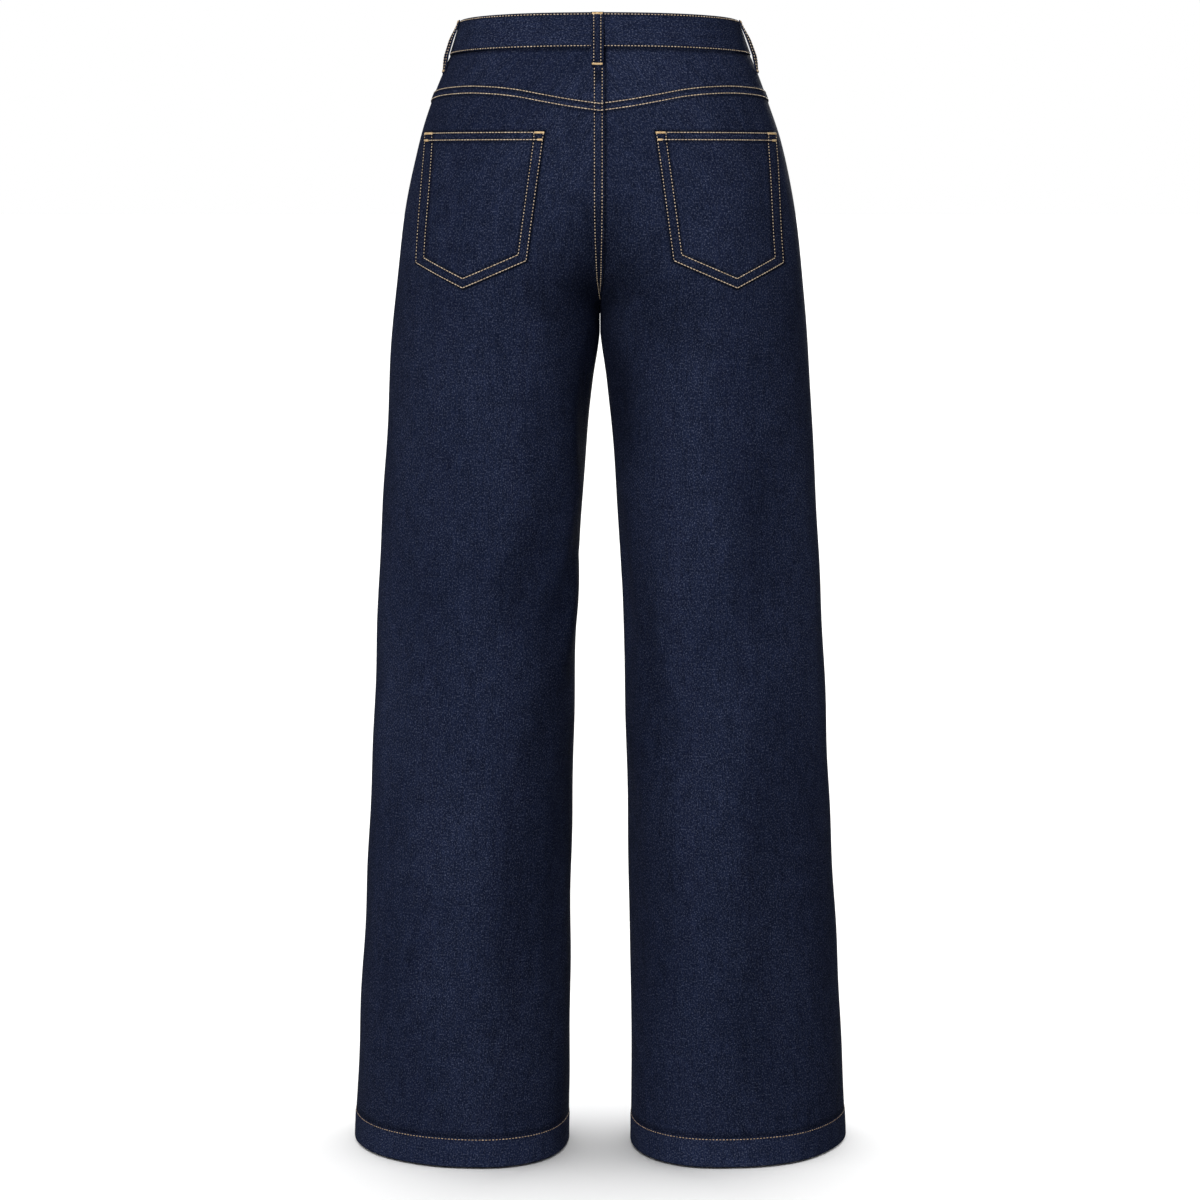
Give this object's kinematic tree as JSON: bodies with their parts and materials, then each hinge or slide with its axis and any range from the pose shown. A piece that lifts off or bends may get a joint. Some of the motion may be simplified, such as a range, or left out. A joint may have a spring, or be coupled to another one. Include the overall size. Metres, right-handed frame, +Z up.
{
  "type": "wide leg jeans",
  "caption": "High-waist wide leg jeans, filled out with no wearer: straight full legs, back yoke, pointed back pockets, belt loops, zip fly and topstitching.",
  "frame": {"origin": "middle of the waist opening, level with the waistband's top edge at the sides, where the wearer's waist holds the garment up", "axes": "+X to the wearer's right, +Y to the wearer's front, +Z up"},
  "size_m": [0.472, 0.2426, 1.0602],
  "materials": {
    "denim": "dark indigo denim, matt, fine diagonal weave",
    "denim_inside": "paler inside face of the denim",
    "thread": "tan topstitching thread",
    "zip_tape": "dark woven tape with metal teeth",
    "antique_metal": "aged brass, satin"
  },
  "bodies": {
    "root": {"back_panel_left": "denim", "front_panel_left": "denim", "yoke_left": "denim", "back_pocket_left": "denim", "front_pocket_facing_left": "denim", "back_panel_right": "denim", "front_panel_right": "denim", "yoke_right": "denim", "back_pocket_right": "denim", "front_pocket_facing_right": "denim", "waistband": "denim", "belt_loop_back": "denim", "belt_loop_side_left": "denim", "belt_loop_front_left": "denim", "belt_loop_side_right": "denim", "belt_loop_front_right": "denim", "fly_facing": "denim", "fly_shield": "denim", "zip": "zip_tape", "zip_slider": "antique_metal", "waist_button": "antique_metal"}
  },
  "joints": []
}
